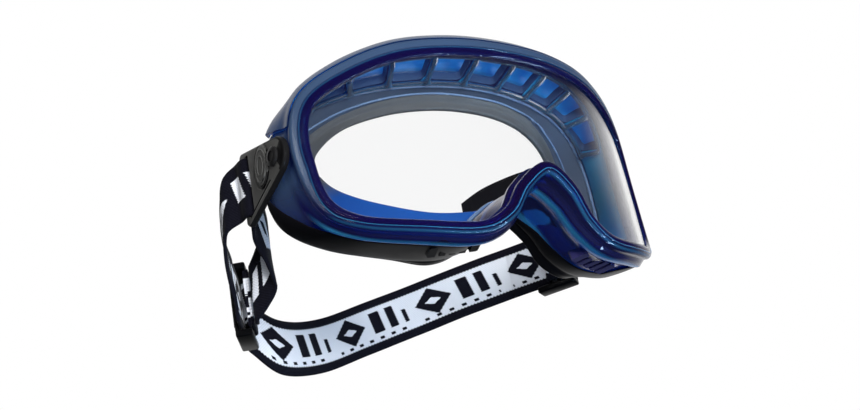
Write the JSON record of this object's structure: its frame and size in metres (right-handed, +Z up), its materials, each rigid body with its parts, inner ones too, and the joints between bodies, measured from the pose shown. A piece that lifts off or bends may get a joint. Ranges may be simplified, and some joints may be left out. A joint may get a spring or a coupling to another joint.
{
  "type": "safety goggles",
  "caption": "Ventilated splash goggles with a curved clear lens, a blue frame, a black face skirt, pivoting strap clips and an adjustable webbing headband.",
  "frame": {"origin": "on the midplane where the face lip meets the face, level with the middle of the lens", "axes": "+Z up, the lens faces -Y, +Y back through the head, +X towards the wearer's left"},
  "size_m": [0.1795, 0.1543, 0.0966],
  "materials": {
    "lens": "clear polished polycarbonate",
    "frame": "translucent deep blue, glossy",
    "brow": "translucent slate blue, satin gloss",
    "rail": "translucent blue, glossy",
    "vent": "translucent navy, glossy",
    "skirt": "soft black, slightly glossy",
    "flange": "translucent blue, soft",
    "pin": "black, satin",
    "clip": "dark grey, fine grained",
    "slider": "black, satin",
    "webbing": "woven elastic webbing, light grey with black edges"
  },
  "bodies": {
    "goggles": {"lens": "lens", "frame_body": "frame", "brow_cover": "brow", "upper_vent_rail": "rail", "lower_vent_cover_right": "vent", "lower_vent_cover_left": "vent", "face_skirt": "skirt", "face_flange": "flange", "pivot_pin_right": "pin", "pivot_pin_left": "pin"},
    "headband": {"strap_clip_right": "clip", "strap_band": "webbing", "strap_loop_right": "webbing", "strap_loop_left": "webbing"},
    "left_clip": {"strap_clip_left": "clip"},
    "right_slider": {"strap_slider_right": "slider", "strap_end_right": "webbing"},
    "left_slider": {"strap_slider_left": "slider", "strap_end_left": "webbing", "strap_tail_left": "webbing"}
  },
  "joints": [
    {"name": "headband_swing", "type": "hinge", "parent": "goggles", "child": "headband", "pos_m": [-0.084, 0.018, 0.011], "axis": [1, 0, 0], "range_deg": [-30, 12]},
    {"name": "left_clip_swing", "type": "hinge", "parent": "goggles", "child": "left_clip", "pos_m": [0.084, 0.018, 0.011], "axis": [1, 0, 0], "range_deg": [-30, 12]},
    {"name": "right_slider_travel", "type": "slide", "parent": "headband", "child": "right_slider", "axis": [0.5592, 0.829, 0], "range_m": [-0.006, 0.006]},
    {"name": "left_slider_travel", "type": "slide", "parent": "headband", "child": "left_slider", "axis": [-0.5, 0.866, 0], "range_m": [0, 0.01]}
  ],
  "couplings": [
    {"joint": "left_clip_swing", "follows": "headband_swing", "ratio": 1}
  ]
}
